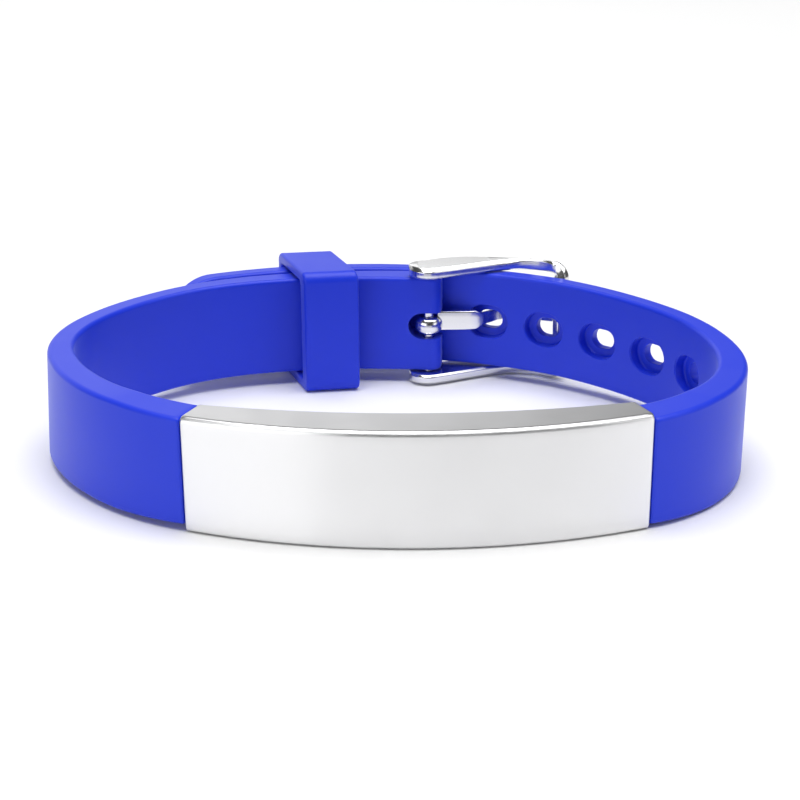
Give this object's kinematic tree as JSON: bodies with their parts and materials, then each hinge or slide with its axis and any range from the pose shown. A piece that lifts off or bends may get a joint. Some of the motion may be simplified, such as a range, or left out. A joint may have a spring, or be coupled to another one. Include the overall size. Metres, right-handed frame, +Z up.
{
  "type": "silicone bracelet with steel plate and buckle",
  "caption": "Buckled silicone strap bracelet with a curved, blank steel plate at the front, a tang buckle and a loop keeper at the back.",
  "frame": {"origin": "middle of the bracelet's bounding box on the surface it lies on", "axes": "+Z up along the ring's axis, -Y towards the plate, +X to the right as the plate is seen from its front"},
  "size_m": [0.0783, 0.0588, 0.0156],
  "materials": {
    "silicone": "satin",
    "steel": "polished"
  },
  "bodies": {
    "root": {"id_plate": "steel", "strap_short": "silicone", "strap_long": "silicone", "keeper": "silicone", "buckle_frame": "steel", "buckle_bar": "steel", "prong": "steel"}
  },
  "joints": []
}
